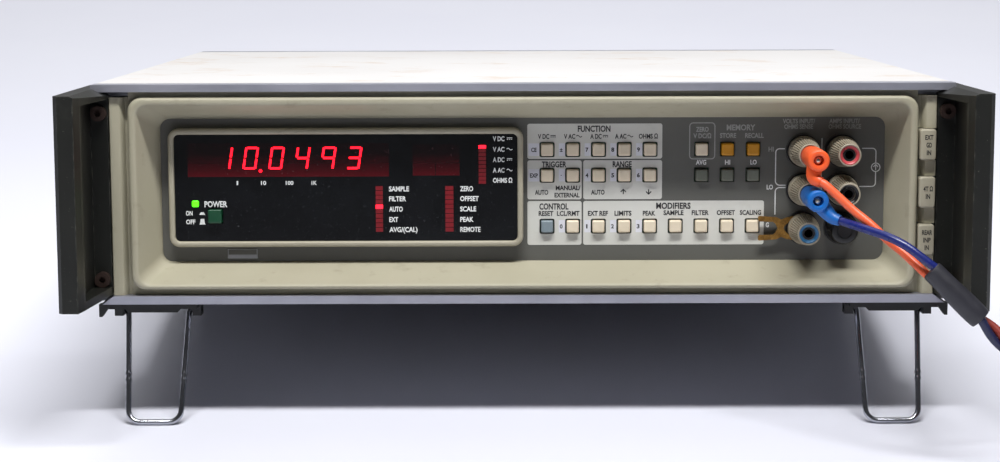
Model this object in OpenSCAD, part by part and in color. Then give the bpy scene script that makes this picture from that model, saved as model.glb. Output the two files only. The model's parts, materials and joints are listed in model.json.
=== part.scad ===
// Bench multimeter: full-rack-width system digital multimeter with test leads.
// Millimetres. The case stands tilted on its front bails, so every case module is built
// square in the case frame (x right, y back from the trim's front plane, z up from the
// underside of the trim) and is then placed by placed(). The loose leads are built in the
// standing frame, where z = 0 is the bench.

/* [Case] */
// Height of the case without feet
case_h = 107; // [105:1:110]
// Width over the side rails
case_w = 415; // [412:1:418]
// Depth of the case from the front trim to the rear trim
case_d = 373; // [360:1:400]
// Width over the two front handles
overall_w = 430; // [428:1:436]
// How far the handles stand in front of the trim
handle_reach = 54; // [50:1:56]

/* [Front panel] */
// Depth of the recessed front panel behind the trim
recess_d = 22; // [20:1:24]
// Distance between neighbouring keys
key_pitch = 12.7; // [12:0.1:13]
// Side of a square key cap
key_w = 6; // [5.5:0.1:6.4]
// Travel of a key
key_travel = 1.5; // [1:0.1:1.8]
// Distance between neighbouring binding posts
post_pitch = 19.05; // [18.5:0.05:19.5]
// Bore of a binding post for a banana plug
jack_bore = 4.1; // [4.05:0.01:4.2]

/* [Stand] */
// Wire diameter of the front bails
bail_wire = 2.8; // [2.4:0.1:3]
// Height of the rear feet
rear_foot_h = 12; // [10:1:14]

/* [Leads] */
// Outer diameter of a single lead wire
wire_d = 4; // [3.6:0.1:4.2]
// Outer diameter of the twisted pair
pair_d = 8; // [7.6:0.1:8.4]

/* [Hidden] */
$fn = 48;
eps = 0.05;

// Colours
cream = [0.87, 0.82, 0.69];
beige = [0.72, 0.70, 0.61];
slate = [0.49, 0.56, 0.60];
amber = [0.85, 0.62, 0.13];
dark_key = [0.37, 0.40, 0.34];
charcoal = [0.16, 0.17, 0.15];
silver = [0.78, 0.79, 0.82];
board_green = [0.10, 0.35, 0.20];

// Front outline, in case x and z
trim_top = 3.5;
trim_bottom = 4;
trim_d = 12;
bezel_x = 200;
bezel_z = [trim_bottom, case_h - trim_top - 2.8];
rim_out_x = 190.8;
rim_out_z = [7.2, bezel_z[1]];
rim_in_x = 187;
rim_in_z = [9.5, 96.8];
floor_x = 178.5;
floor_z = [18, 89];
panel_t = 2;
window_x = [-174.2, 0.3];
window_z = [25.8, 84.3];
window_border = 2.8;
window_proud = 6;

// Keys: first column, the three row heights and the cap's front plane
key_x = 12.1;
row_low = 35.1;
row_mid = row_low + 2 * key_pitch;
row_high = row_low + 3 * key_pitch;
key_front = recess_d - 2.6;
key_gap = 0.6;

// Binding posts
post_x = [138.2, 138.2 + post_pitch];
post_z = [for (i = [1, 0, -1]) 53.3 + i * post_pitch];
collar_t = 2.5;
collar_front = recess_d - collar_t;
cap_front = -4;
stud_r = 3;
cap_gap = 0.06;

// Side buttons on the right flange
side_x = 195.5;
side_w = 7.8;
side_h = 15;
side_z = [for (i = [1, 0, -1]) 53.9 + i * 23.1];

// Power button
power_x = -151.5;
power_z = 41.2;
power_w = 6.7;

// Handles and their screws
handle_z = [4.5, 105];
screw_x = 204.7;
screw_z = [12.2, 93.2];
screw_r = 2;
handle_back = 37;
rear_screw_x = 198.5;
rear_screw_z = [12, 95];
rear_screw_r = 1.5;

// Case shells
rail_t = 4;
sheet = 1.5;
cover_front = trim_d + 0.2;
cover_back = case_d - trim_d;

// Stand: the bail pivots, and the bail wire's lowest axis in the case frame
bail_x = 181.5;
bail_pivot = [24, -6];
bail_foot = [2, -59];
bail_half_low = 13;
bail_splay = 2.4;
bail_bend = 6;
bail_eye = 2.6;
bail_pin_x = 20.8;
bail_len = norm(bail_foot - bail_pivot);
bail_rake = atan2(bail_pivot[0] - bail_foot[0], bail_pivot[1] - bail_foot[1]);
rear_foot_y = 350;
rear_foot_r = 8.5;
stand_run = rear_foot_y + rear_foot_r - bail_foot[0];
stand_drop = -bail_foot[1] - rear_foot_h;
tilt = atan2(stand_drop, stand_run) + asin(bail_wire / 2 / norm([stand_run, stand_drop]));
rest_z = bail_foot[0] * sin(tilt) - bail_foot[1] * cos(tilt) + bail_wire / 2;
front_most = -handle_reach * cos(tilt) + handle_z[0] * sin(tilt);
rear_most = case_d * cos(tilt) + case_h * sin(tilt);
rest_y = -(front_most + rear_most) / 2;

// Lead routes in the standing frame, bench at z = 0
orange_route = [
    [136, -184, 127], [141, -187, 125], [147, -190, 120], [154, -194, 114], [161, -199, 109],
    [168, -204, 103], [175, -210, 98], [181, -216, 93], [187, -222, 88]
];
blue_route = [
    [145, -188, 109], [149, -191, 108], [154, -196.5, 107.5], [159, -202.5, 107], [164, -208, 106.5],
    [169, -213, 105.5], [175, -217.5, 103], [181, -221, 99], [188, -223.5, 94]
];
sleeve_from = [186, -223, 93];
sleeve_to = [208, -231, 72];
cable_route = [
    [207, -231, 73], [212, -232, 68], [219, -235, 60], [227, -240, 50], [236, -247, 38],
    [245, -255, 27], [253, -261, 19], [259, -264, 15]
];
coil_centre = [282, -225];
coil_in = 36;
coil_out = 52;
coil_h = 15.6;
tail_route = [[243, -253, 4], [251, -264, 4], [258, -273, 5], [264, -282, 6]];
tail_plugs = [[265, -283], [275, -303]];
plug_r = 5.2;

// ---------------------------------------------------------------- helpers

// Puts a case-frame shape where the tilted case stands
module placed() translate([0, rest_y, rest_z]) rotate([-tilt, 0, 0]) children();

// Box between two corners
module block(from, to) translate(from) cube(to - from);

// Rounded rectangle between two corners, in the plane of the front
module rounded_2d(x, z, r) {
    translate([x[0] + r, z[0]]) square([x[1] - x[0] - 2 * r, z[1] - z[0]]);
    translate([x[0], z[0] + r]) square([x[1] - x[0], z[1] - z[0] - 2 * r]);
    for (cx = [x[0] + r, x[1] - r], cz = [z[0] + r, z[1] - r])
        translate([cx, cz]) circle(r, $fn = 32);
}

// Extrudes a front-plane outline from depth y[0] back to y[1]
module along_y(y) translate([0, y[1], 0]) rotate([90, 0, 0]) linear_extrude(y[1] - y[0]) children();

module plate(x, z, y, r) along_y(y) rounded_2d(x, z, r);

// Cylinder along y at a front-plane position
module rod(x, z, y, r) translate([x, y[0], z]) rotate([-90, 0, 0]) cylinder(h = y[1] - y[0], r = r);

// Turned shape about a y axis, from a profile of [radius, depth] points
module turned(x, z, profile) translate([x, 0, z]) rotate([-90, 0, 0]) rotate_extrude() polygon(profile);

// Both halves of a pair that is symmetric about the middle of the case
module both_sides() {
    children();
    mirror([1, 0, 0]) children();
}

function unit(v) = v / norm(v);
function tangent(route, i) =
    unit(route[min(i + 1, len(route) - 1)] - route[max(i - 1, 0)]);
function tube_ring(centre, dir, r, sides) =
    let (side = unit(cross(dir, [0, 0, 1])), up = cross(side, dir))
    [for (k = [0 : sides - 1]) centre + r * (cos(360 * k / sides) * side + sin(360 * k / sides) * up)];

// Solid tube swept along the points of a route
module tube(route, d, sides) {
    rings = len(route);
    points = [for (i = [0 : rings - 1], p = tube_ring(route[i], tangent(route, i), d / 2, sides)) p];
    walls = [for (i = [0 : rings - 2], k = [0 : sides - 1])
        let (n = (k + 1) % sides)
        [i * sides + k, i * sides + n, (i + 1) * sides + n, (i + 1) * sides + k]];
    near_end = [for (k = [sides - 1 : -1 : 0]) k];
    far_end = [for (k = [0 : sides - 1]) (rings - 1) * sides + k];
    polyhedron(points, concat([near_end], walls, [far_end]));
}

// Turns children, built along +z, into the direction from one point to another
module aimed(from, to) {
    d = to - from;
    translate(from) rotate([0, acos(d[2] / norm(d)), atan2(d[1], d[0])]) children();
}

// ---------------------------------------------------------------- case

module cover_shell(z_plate, z_lip) {
    half = case_w / 2;
    block([-half, cover_front, z_plate[0]], [half, cover_back - 0.2, z_plate[1]]);
    both_sides() block([half - sheet, cover_front, z_lip[0]], [half, cover_back - 0.2, z_lip[1]]);
}

module top_cover() color([0.93, 0.93, 0.94]) placed()
    cover_shell([case_h - sheet, case_h], [case_h - 6.8, case_h]);

module bottom_cover() color([0.75, 0.76, 0.78]) placed() cover_shell([0, sheet], [0, 4]);

module ring_frame(half, z, bar_x, bar_z, y) difference() {
    block([-half, y[0], z[0]], [half, y[1], z[1]]);
    block([-half + bar_x, y[0] - 1, z[0] + bar_z], [half - bar_x, y[1] + 1, z[1] - bar_z]);
}

module chassis_frame() color([0.62, 0.63, 0.65]) placed() difference() {
    union() {
        ring_frame(bezel_x + 3.5, [4.2, 103.3], 3.2, 2.2, [8, 21]);
        ring_frame(bezel_x + 3.5, [4.2, 103.3], 9, 8, [355, 365]);
        both_sides() block([case_w / 2 - rail_t, 8, 4.2], [case_w / 2, 365, 100]);
        for (y = [110, 235]) block([-204, y, 4.2], [204, y + 14, 8]);
    }
    both_sides() {
        // Long shallow panels in the outer faces of the side rails
        block([case_w / 2 - 1.5, 60, 16], [case_w / 2 + 1, 340, 88]);
        for (z = screw_z) rod(screw_x, z, [7, 18], screw_r + eps);
        for (z = rear_screw_z) rod(rear_screw_x, z, [354, 366], rear_screw_r + eps);
    }
}

module trim_strips() color(silver) placed() {
    top_half = 208.2;
    low_half = 205;
    block([-top_half, 0, case_h - trim_top], [top_half, trim_d, case_h]);
    along_y([0, trim_d]) polygon([
        [-low_half, 0], [low_half, 0],
        [bezel_x - 0.4, trim_bottom], [-bezel_x + 0.4, trim_bottom]
    ]);
    rear = [cover_back, case_d];
    block([-case_w / 2, rear[0], case_h - trim_top], [case_w / 2, rear[1], case_h]);
    block([-case_w / 2, rear[0], 0], [case_w / 2, rear[1], trim_bottom]);
}

// Plan outline of a handle's flange, right-hand side
module handle_plan() {
    outer = overall_w / 2;
    polygon([
        [205.6, -handle_reach], [outer - 2, -handle_reach], [outer, -handle_reach + 2],
        [outer, handle_back - 4], [outer - 3, handle_back], [case_w / 2 + eps, handle_back],
        [case_w / 2 + eps, 7.8], [200.4, 7.8], [200.4, 3], [204.5, -45]
    ]);
}

// Finger pocket between the flanges, open towards the middle and the front
module handle_pocket() {
    polygon([
        [190, -60], [205.6, -60], [205.6, -handle_reach - 1], [204.5, -45], [204.5, -42],
        [209, -36], [209, 3], [190, 3]
    ]);
}

module handle() difference() {
    translate([0, 0, handle_z[0]]) linear_extrude(handle_z[1] - handle_z[0]) handle_plan();
    translate([0, 0, 8.4]) linear_extrude(91.6) handle_pocket();
    // The inner edge of the upper flange is bevelled, and so is that of the lower one
    along_y([-60, 10]) polygon([[199, 101], [207.5, handle_z[1] + eps], [199, handle_z[1] + 1]]);
    // Seat of the front trim
    block([190, -0.1, case_h - trim_top - 0.1], [208.3, 10, case_h + 1]);
    for (z = screw_z) rod(screw_x, z, [-1, 9], screw_r + 0.2);
    block([case_w / 2 - 5, 7.8, -1], [case_w / 2 + eps, handle_back + 1, case_h]);
}

module handles() color(charcoal) placed() both_sides() handle();

// Socket-head screw facing the front, its head's front at depth y
module socket_screw(x, z, y) difference() {
    union() {
        rod(x, z, [y, y + 4], 3.7);
        rod(x, z, [y + 3, y + 17], screw_r);
    }
    rod(x, z, [y - 1, y + 2.4], 1.6, $fn = 6);
}

module screws() color([0.25, 0.22, 0.20]) placed() {
    for (s = [-1, 1], z = screw_z) socket_screw(s * screw_x, z, -1);
    // Pan-head screws that hold the rear panel
    for (s = [-1, 1], z = rear_screw_z) {
        rod(s * rear_screw_x, z, [356, 367.2], rear_screw_r);
        rod(s * rear_screw_x, z, [367.2, 369.4], 3);
    }
}

// ---------------------------------------------------------------- front

module recess_shape(extra) hull() {
    plate([-rim_in_x - extra, rim_in_x + extra], [rim_in_z[0] - extra, rim_in_z[1] + extra], [-0.1, 0], 6);
    plate([-floor_x - extra, floor_x + extra], [floor_z[0] - extra, floor_z[1] + extra],
        [recess_d - 0.1, recess_d], 5);
}

module front_bezel() color(beige) placed() difference() {
    union() {
        along_y([3, 6]) translate([-bezel_x, bezel_z[0] + 0.1])
            square([2 * bezel_x, bezel_z[1] - bezel_z[0] - 0.1]);
        plate([-rim_out_x, rim_out_x], rim_out_z, [0.6, 6], 8);
        plate([-rim_out_x + 1.2, rim_out_x - 1.2], rim_out_z + [1.2, -1.2], [0, 1], 7);
        intersection() {
            recess_shape(2);
            block([-195, 3, 5], [195, recess_d - 0.1, 102]);
        }
    }
    recess_shape(0);
    block([-220, -1, bezel_z[1]], [220, recess_d + 1, 120]);
    // Slots of the three side buttons, open towards the handle
    for (z = side_z) block([side_x - side_w / 2 - 0.3, -1, z - side_h / 2 - 0.3],
        [bezel_x + 1, 7, z + side_h / 2 + 0.3]);
}

module key_holes(w, y) {
    for (c = [0 : 8]) key_hole(c, row_low, w, y);
    for (c = [0 : 4], z = [row_mid, row_high]) key_hole(c, z, w, y);
    for (c = [6 : 8], z = [row_mid, row_high]) key_hole(c, z, w, y);
}

module key_hole(column, z, w, y) {
    x = key_x + column * key_pitch;
    block([x - w / 2, y[0], z - w / 2], [x + w / 2, y[1], z + w / 2]);
}

module front_panel() color([0.33, 0.33, 0.31]) placed() difference() {
    block([-181, recess_d, 15.5], [181, recess_d + panel_t, 91.5]);
    key_holes(key_w + 2 * key_gap, [recess_d - 1, recess_d + panel_t + 1]);
    plate(window_x + [5, -5], window_z + [5, -5], [recess_d - 1, recess_d + panel_t + 1], 2);
    for (x = post_x, z = post_z) rod(x, z, [recess_d - 1, recess_d + panel_t + 1], 6.5);
}

module window_frame() color(beige) placed() difference() {
    union() {
        plate(window_x, window_z, [recess_d - window_proud + 0.8, recess_d], 5);
        plate(window_x + [0.8, -0.8], window_z + [0.8, -0.8],
            [recess_d - window_proud, recess_d - window_proud + 1], 4.2);
    }
    plate(window_x + [window_border, -window_border], window_z + [window_border, -window_border],
        [0, recess_d + 1], 2.5);
}

module display_window() color([0.06, 0.06, 0.08]) placed() difference() {
    gap = window_border + 0.05;
    plate(window_x + [gap, -gap], window_z + [gap, -gap], [recess_d - 4.4, recess_d - 1.8], 2.4);
    block([power_x - 3.8, 0, power_z - 3.8], [power_x + 3.8, recess_d + 5, power_z + 3.8]);
}

// Printed board behind the front panel, with display modules and key switches
module front_board() color(board_green) placed() {
    board_y = recess_d + 8;
    difference() {
        block([-176, board_y, 17], [128, board_y + 1.6, 90]);
        block([power_x - 4.5, board_y - 1, power_z - 4.5], [power_x + 4.5, board_y + 3, power_z + 4.5]);
    }
    // Seven-segment modules and the three columns of indicator lamps
    for (i = [0 : 7]) block([-163.5 + i * 12.7, recess_d - 1.4, 60], [-152 + i * 12.7, board_y + 0.1, 78]);
    block([-54, recess_d - 1.4, 60], [-31.5, board_y + 0.1, 77]);
    for (x = [-72.6, -38.3]) block([x, recess_d - 1.4, 32], [x + 3.9, board_y + 0.1, 56]);
    block([-21.6, recess_d - 1.4, 56], [-17.7, board_y + 0.1, 77]);
    // Switch bodies, each with a well for its key's stem
    difference() {
        key_holes(9, [board_y - 3.6, board_y + 0.1]);
        key_holes(3.8, [board_y - 4, board_y - 0.2]);
    }
}

// ---------------------------------------------------------------- rear

module rear_panel() color([0.80, 0.80, 0.78]) placed() difference() {
    block([-203, 365.2, 4.3], [203, 367.2, 103.2]);
    block([-186, 360, 20], [-158, 370, 42]);
    block([60, 360, 24], [112, 370, 38]);
    for (x = [-110, 20, 140]) rod(x, 30, [360, 370], 7);
    for (x = [-90 : 10 : -30]) block([x, 360, 60], [x + 4, 370, 92]);
    for (s = [-1, 1], z = rear_screw_z) rod(s * rear_screw_x, z, [360, 370], rear_screw_r + 0.1);
}

module rear_fittings() placed() {
    // Mains inlet with its recessed socket and three blades
    color(charcoal) difference() {
        union() {
            block([-190, 367.3, 15], [-154, 370, 47]);
            block([-185.9, 348, 20.1], [-158.1, 368, 41.9]);
        }
        block([-184, 352, 22], [-160, 372, 40]);
    }
    color(silver) for (x = [-179, -172, -165])
        block([x - 1, 351.9, 29], [x + 1, 361, 33]);
    // Interface connector
    color([0.2, 0.3, 0.5]) block([60.2, 355, 24.2], [111.8, 371, 37.8]);
    // Rear terminals: fuse holder, trigger input and guard terminal
    color(charcoal) for (x = [-110, 20, 140]) {
        rod(x, 30, [350, 368], 6.9);
        rod(x, 30, [367.3, 372], 8.5);
    }
}

module circuit_boards() color(board_green) placed() {
    // Main board on the cross members, with plug-in cards standing in it
    block([-120, 60, 8.1], [190, 335, 9.7]);
    for (x = [-70 : 45 : 155]) block([x, 80, 9.6], [x + 1.6, 320, 92]);
    for (x = [-70 : 45 : 155], y = [110, 190, 270]) block([x + 1.5, y, 30], [x + 6, y + 40, 60]);
}

module transformer() placed() {
    color([0.35, 0.35, 0.37]) difference() {
        block([-190, 250, 8.1], [-130, 320, 78]);
        block([-178, 240, 22], [-166, 330, 64]);
        block([-154, 240, 22], [-142, 330, 64]);
    }
    color([0.75, 0.55, 0.25]) difference() {
        block([-177.5, 236, 22.5], [-142.5, 334, 63.5]);
        block([-165.9, 230, 10], [-154.1, 340, 80]);
    }
}

// ---------------------------------------------------------------- terminals

// Fixed part of one terminal: black collar, neck, nut and the bored metal stud
module terminal(x, z) difference() {
    union() {
        rod(x, z, [collar_front, recess_d], 8.2);
        rod(x, z, [recess_d - 1, recess_d + 6], 6.4);
        rod(x, z, [cap_front + 2, recess_d + 12], stud_r);
    }
    rod(x, z, [cap_front, recess_d - 2], jack_bore / 2);
}

module fuse_holder(x, z) difference() {
    union() {
        rod(x, z, [collar_front, recess_d], 8.2);
        rod(x, z, [recess_d - 1, recess_d + 40], 6.4);
    }
    rod(x, z, [collar_front - 1, recess_d + 36], 5.1);
}

module input_terminals() color([0.12, 0.12, 0.12]) placed() {
    for (z = post_z) terminal(post_x[0], z);
    for (i = [0, 1]) terminal(post_x[1], post_z[i]);
    fuse_holder(post_x[1], post_z[2]);
}

// Turned cap that screws on a stud; base is the depth of its rear face
module post_cap(x, z, base) color([0.62, 0.58, 0.52]) placed()
    turned(x, z, [
        [stud_r + cap_gap, cap_front + 2], [4.6, cap_front + 1.9], [4.7, cap_front],
        [5.4, cap_front], [5.7, cap_front + 0.4], [7.3, base - 6], [7.5, base - 5],
        [7.5, base], [stud_r + cap_gap, base]
    ]);

module cap_volts_high() post_cap(post_x[0], post_z[0], collar_front - 0.2);
module cap_volts_low() post_cap(post_x[0], post_z[1], collar_front - 0.2);
module cap_guard() post_cap(post_x[0], post_z[2], collar_front - 1.6);
module cap_amps_high() post_cap(post_x[1], post_z[0], collar_front - 0.2);
module cap_amps_low() post_cap(post_x[1], post_z[1], collar_front - 0.2);

module fuse_cap() color([0.08, 0.08, 0.08]) placed()
    turned(post_x[1], post_z[2], [
        [0, 7], [6.2, 7], [7, 7.8], [7.4, 16], [7.4, collar_front - 0.2], [5, collar_front - 0.2],
        [5, recess_d + 30], [0, recess_d + 30]
    ]);

// Brass double fork, clamped on the guard terminal
module shorting_link() color([0.60, 0.46, 0.22]) placed() {
    z = post_z[2];
    x = [post_x[0] - 22, post_x[0] + 4.6];
    along_y([collar_front - 1.3, collar_front - 0.2]) difference() {
        translate([x[0], z - 5.8]) square([x[1] - x[0], 11.6]);
        translate([x[0] - 1, z - 3.1]) square([9, 6.2]);
        translate([post_x[0] - 7, z - 3.1]) square([20, 6.2]);
    }
}

// ---------------------------------------------------------------- controls

module key(column, z, tint) color(tint) placed() {
    x = key_x + column * key_pitch;
    block([x - key_w / 2, key_front, z - key_w / 2], [x + key_w / 2, recess_d + 2.6, z + key_w / 2]);
    block([x - 1.5, recess_d + 2.5, z - 1.5], [x + 1.5, recess_d + 5.8, z + 1.5]);
}

module key_volts_dc() key(0, row_high, cream);
module key_volts_ac() key(1, row_high, cream);
module key_amps_dc() key(2, row_high, cream);
module key_amps_ac() key(3, row_high, cream);
module key_ohms() key(4, row_high, cream);
module key_trigger_auto() key(0, row_mid, cream);
module key_trigger_manual() key(1, row_mid, cream);
module key_range_auto() key(2, row_mid, cream);
module key_range_up() key(3, row_mid, cream);
module key_range_down() key(4, row_mid, cream);
module key_reset() key(0, row_low, slate);
module key_local_remote() key(1, row_low, cream);
module key_ext_ref() key(2, row_low, cream);
module key_limits() key(3, row_low, cream);
module key_peak() key(4, row_low, cream);
module key_sample() key(5, row_low, cream);
module key_filter() key(6, row_low, cream);
module key_offset() key(7, row_low, cream);
module key_scaling() key(8, row_low, cream);
module key_zero() key(6, row_high, cream);
module key_store() key(7, row_high, amber);
module key_recall() key(8, row_high, amber);
module key_average() key(6, row_mid, dark_key);
module key_high() key(7, row_mid, dark_key);
module key_low() key(8, row_mid, dark_key);

module power_button() color([0.08, 0.30, 0.20]) placed() {
    block([power_x - power_w / 2, 14.4, power_z - power_w / 2],
        [power_x + power_w / 2, recess_d + 4, power_z + power_w / 2]);
    block([power_x - 2, recess_d + 3.9, power_z - 2], [power_x + 2, recess_d + 30, power_z + 2]);
}

module side_button(z) color(beige) placed() {
    plate([side_x - side_w / 2, side_x + side_w / 2], [z - side_h / 2, z + side_h / 2], [-0.6, 7.6], 1);
    block([side_x - 1.5, 7.5, z - 2], [side_x + 1.5, 30, z + 2]);
}

module button_ext_gate() side_button(side_z[0]);
module button_four_wire() side_button(side_z[1]);
module button_rear_input() side_button(side_z[2]);

// ---------------------------------------------------------------- stand

// One front foot: base plate, pad, hooked toe and two bored lugs for the bail
module front_foot() {
    y = bail_pivot[0];
    difference() {
        union() {
            block([bail_x - 21.5, 4, -3], [206, 46, 0]);
            for (x = [bail_x - 21.5, bail_x + 17.2]) block([x, y - 4, -9], [x + 4.3, y + 4, -2.9]);
            // Pad in front of the pivot line
            along_y([6, 12]) polygon([
                [bail_x - 12, -5], [bail_x + 12, -5], [bail_x + 14, -2.9], [bail_x - 14, -2.9]
            ]);
            along_y([1, 6]) polygon([[200, -0.1], [207, -0.1], [207, -6.3], [205.5, -6.3], [202.5, -2]]);
        }
        translate([bail_x - 30, y, bail_pivot[1]]) rotate([0, 90, 0]) cylinder(h = 60, r = bail_wire / 2 + eps);
    }
}

module rear_foot() translate([170, rear_foot_y, -rear_foot_h])
    rotate_extrude() polygon([[0, 0], [rear_foot_r, 0], [10, 1.5], [11, rear_foot_h], [0, rear_foot_h]]);

module feet() color([0.10, 0.10, 0.10]) placed() both_sides() {
    front_foot();
    rear_foot();
}

// Bend in the wire, in the bail's own plane: centre, bend radius and the angles it runs between
module wire_bend(x, z, radius, from, to) translate([x, 0, z]) rotate([90, 0, 0]) rotate([0, 0, from])
    rotate_extrude(angle = to - from) translate([radius, 0]) circle(bail_wire / 2);

// Wire bail hanging from its pivot, which lies on the x axis through the origin
module bail_shape() {
    r = bail_wire / 2;
    low_x = bail_half_low - bail_bend;
    low_z = bail_bend - bail_len;
    leg_from = [low_x + bail_bend * cos(bail_splay), low_z - bail_bend * sin(bail_splay)];
    leg_top_z = -bail_eye * (1 - sin(bail_splay));
    leg = (leg_top_z - leg_from[1]) / cos(bail_splay);
    eye_x = leg_from[0] + leg * sin(bail_splay) + bail_eye * cos(bail_splay);
    both_sides() {
        wire_bend(low_x, low_z, bail_bend, -90, -bail_splay);
        translate([leg_from[0], 0, leg_from[1]]) rotate([0, bail_splay, 0]) cylinder(h = leg, r = r);
        wire_bend(eye_x, -bail_eye, bail_eye, 90, 180 - bail_splay);
        translate([eye_x, 0, 0]) rotate([0, 90, 0]) cylinder(h = bail_pin_x - eye_x, r = r);
    }
    translate([-low_x, 0, -bail_len]) rotate([0, 90, 0]) cylinder(h = 2 * low_x, r = r);
}

module bail(x) color([0.70, 0.71, 0.74]) placed()
    translate([x, bail_pivot[0], bail_pivot[1]]) rotate([-bail_rake, 0, 0]) bail_shape();

module bail_left() bail(-bail_x);
module bail_right() bail(bail_x);

// ---------------------------------------------------------------- leads

// Banana plug in a terminal: pin, moulded body, and the boss that the wire leaves through
module seated_plug(z, boss_to) {
    x = post_x[0];
    placed() difference() {
        union() {
            rod(x, z, [cap_front - 28, cap_front - 0.3], plug_r);
            rod(x, z, [cap_front - 1, 14], 2);
        }
        rod(x, z, [cap_front - 29, cap_front - 16], jack_bore / 2 + 0.2);
    }
    from = [x, rest_y + (cap_front - 20) * cos(tilt) + z * sin(tilt),
        rest_z - (cap_front - 20) * sin(tilt) + z * cos(tilt)];
    difference() {
        aimed(from, boss_to) cylinder(h = norm(boss_to - from), r1 = 4.4, r2 = 3.2);
        placed() rod(x, z, [cap_front - 29, cap_front - 4], 4);
    }
}

// Loose banana plug that lies on the bench, pin forward
module loose_plug(at, offset) translate([at[0][0], at[0][1], plug_r])
    rotate([0, 0, atan2(at[1][1] - at[0][1], at[1][0] - at[0][0])]) translate([0, offset, 0]) rotate([0, 90, 0]) {
        cylinder(h = 26, r = plug_r);
        translate([0, 0, 25]) cylinder(h = 19, r = 2);
    }

module lead_fittings() {
    color([1.0, 0.41, 0.21]) seated_plug(post_z[0], orange_route[0]);
    color([0.05, 0.43, 0.75]) seated_plug(post_z[1], blue_route[0]);
    color([0.15, 0.15, 0.17]) aimed(sleeve_from, sleeve_to)
        cylinder(h = norm(sleeve_to - sleeve_from), r1 = 5, r2 = 5.6);
    color([0.75, 0.16, 0.12]) loose_plug(tail_plugs, 5.5);
    color([0.10, 0.10, 0.12]) loose_plug(tail_plugs, -5.5);
}

module wire_orange() color([1.0, 0.41, 0.21]) tube(orange_route, wire_d, 10);
module wire_blue() color([0.08, 0.25, 0.62]) tube(blue_route, wire_d, 10);

module lead_cable() color([0.16, 0.16, 0.34]) {
    tube(cable_route, pair_d, 10);
    tube(tail_route, pair_d, 10);
}

module cable_coil() color([0.16, 0.16, 0.34]) translate(concat(coil_centre, [0]))
    rotate_extrude() polygon([
        [coil_in + 3, 0], [coil_out - 3, 0], [coil_out, 3], [coil_out, 6], [coil_out - 4, coil_h],
        [coil_in + 4, coil_h], [coil_in, 6], [coil_in, 3]
    ]);

top_cover();
bottom_cover();
chassis_frame();
trim_strips();
handles();
screws();
front_bezel();
front_panel();
window_frame();
display_window();
front_board();
rear_panel();
rear_fittings();
circuit_boards();
transformer();
input_terminals();
shorting_link();
feet();
bail_left();
bail_right();
power_button();
button_ext_gate();
button_four_wire();
button_rear_input();
key_volts_dc();
key_volts_ac();
key_amps_dc();
key_amps_ac();
key_ohms();
key_trigger_auto();
key_trigger_manual();
key_range_auto();
key_range_up();
key_range_down();
key_reset();
key_local_remote();
key_ext_ref();
key_limits();
key_peak();
key_sample();
key_filter();
key_offset();
key_scaling();
key_zero();
key_store();
key_recall();
key_average();
key_high();
key_low();
cap_volts_high();
cap_volts_low();
cap_guard();
cap_amps_high();
cap_amps_low();
fuse_cap();
lead_fittings();
wire_orange();
wire_blue();
lead_cable();
cable_coil();
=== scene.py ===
"""Looks of a bench multimeter that stands on its front bails with a test lead plugged in.

Shapes of the instrument are written in the case frame, in millimetres: x right, y back from
the trim's front plane, z up from the underside of the trim. CASE carries them to the bench.
The lead is written on the bench itself, also in millimetres. BENCH carries that.
"""

import json
import math

import bmesh
import bpy
from mathutils import Matrix, Vector


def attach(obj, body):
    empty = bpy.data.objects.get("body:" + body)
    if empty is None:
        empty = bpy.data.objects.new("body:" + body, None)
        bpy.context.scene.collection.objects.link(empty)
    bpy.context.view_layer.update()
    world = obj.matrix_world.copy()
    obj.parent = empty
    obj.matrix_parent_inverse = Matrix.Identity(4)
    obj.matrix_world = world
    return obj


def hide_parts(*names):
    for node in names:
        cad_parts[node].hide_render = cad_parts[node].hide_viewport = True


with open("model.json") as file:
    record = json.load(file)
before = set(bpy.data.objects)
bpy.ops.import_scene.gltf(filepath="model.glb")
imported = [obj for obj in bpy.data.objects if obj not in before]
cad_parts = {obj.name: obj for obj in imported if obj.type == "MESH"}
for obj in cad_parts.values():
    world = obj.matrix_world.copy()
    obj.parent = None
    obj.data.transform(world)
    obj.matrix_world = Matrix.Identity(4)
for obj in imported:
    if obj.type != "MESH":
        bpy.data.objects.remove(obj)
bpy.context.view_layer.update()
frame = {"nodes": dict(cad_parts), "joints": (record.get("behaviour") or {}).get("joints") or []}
nodes = frame["nodes"]
joints = {joint["name"]: joint for joint in frame["joints"]}
scene = bpy.context.scene

# ------------------------------------------------------------------ frames

MM = 0.001
BAIL_X = 181.5
BAIL_PIVOT = (24, -6)

BACK = Vector(joints["key_reset_press"]["axis"]).normalized()
UP = Vector((0, -BACK.z, BACK.y))
RIGHT = Vector((1, 0, 0))
PIVOT = Vector(joints["bail_left_fold"]["pos_m"])
ORIGIN = PIVOT - MM * (-BAIL_X * RIGHT + BAIL_PIVOT[0] * BACK + BAIL_PIVOT[1] * UP)
CASE = Matrix.Translation(ORIGIN) @ Matrix((RIGHT, BACK, UP)).transposed().to_4x4() @ Matrix.Scale(MM, 4)
BENCH = Matrix.Scale(MM, 4)

# ------------------------------------------------------------------ sizes, in millimetres

RECESS = 22
PITCH = 12.7
KEY_X = 12.1
ROW_LOW = 35.1
ROW_MID = ROW_LOW + 2 * PITCH
ROW_HIGH = ROW_LOW + 3 * PITCH
KEY_W = 6
KEY_FRONT = RECESS - 2.6
POST_X = (138.2, 157.25)
POST_Z = (72.35, 53.3, 34.25)
COLLAR_FRONT = RECESS - 2.5
CAP_FRONT = -4
WINDOW_X = (-174.2, 0.3)
WINDOW_Z = (25.8, 84.3)
GLASS = RECESS - 4.4
POWER_X = -151.5
POWER_Z = 41.2
SIDE_X = 195.5
SIDE_Z = (77.0, 53.9, 30.8)

# ------------------------------------------------------------------ camera

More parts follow.
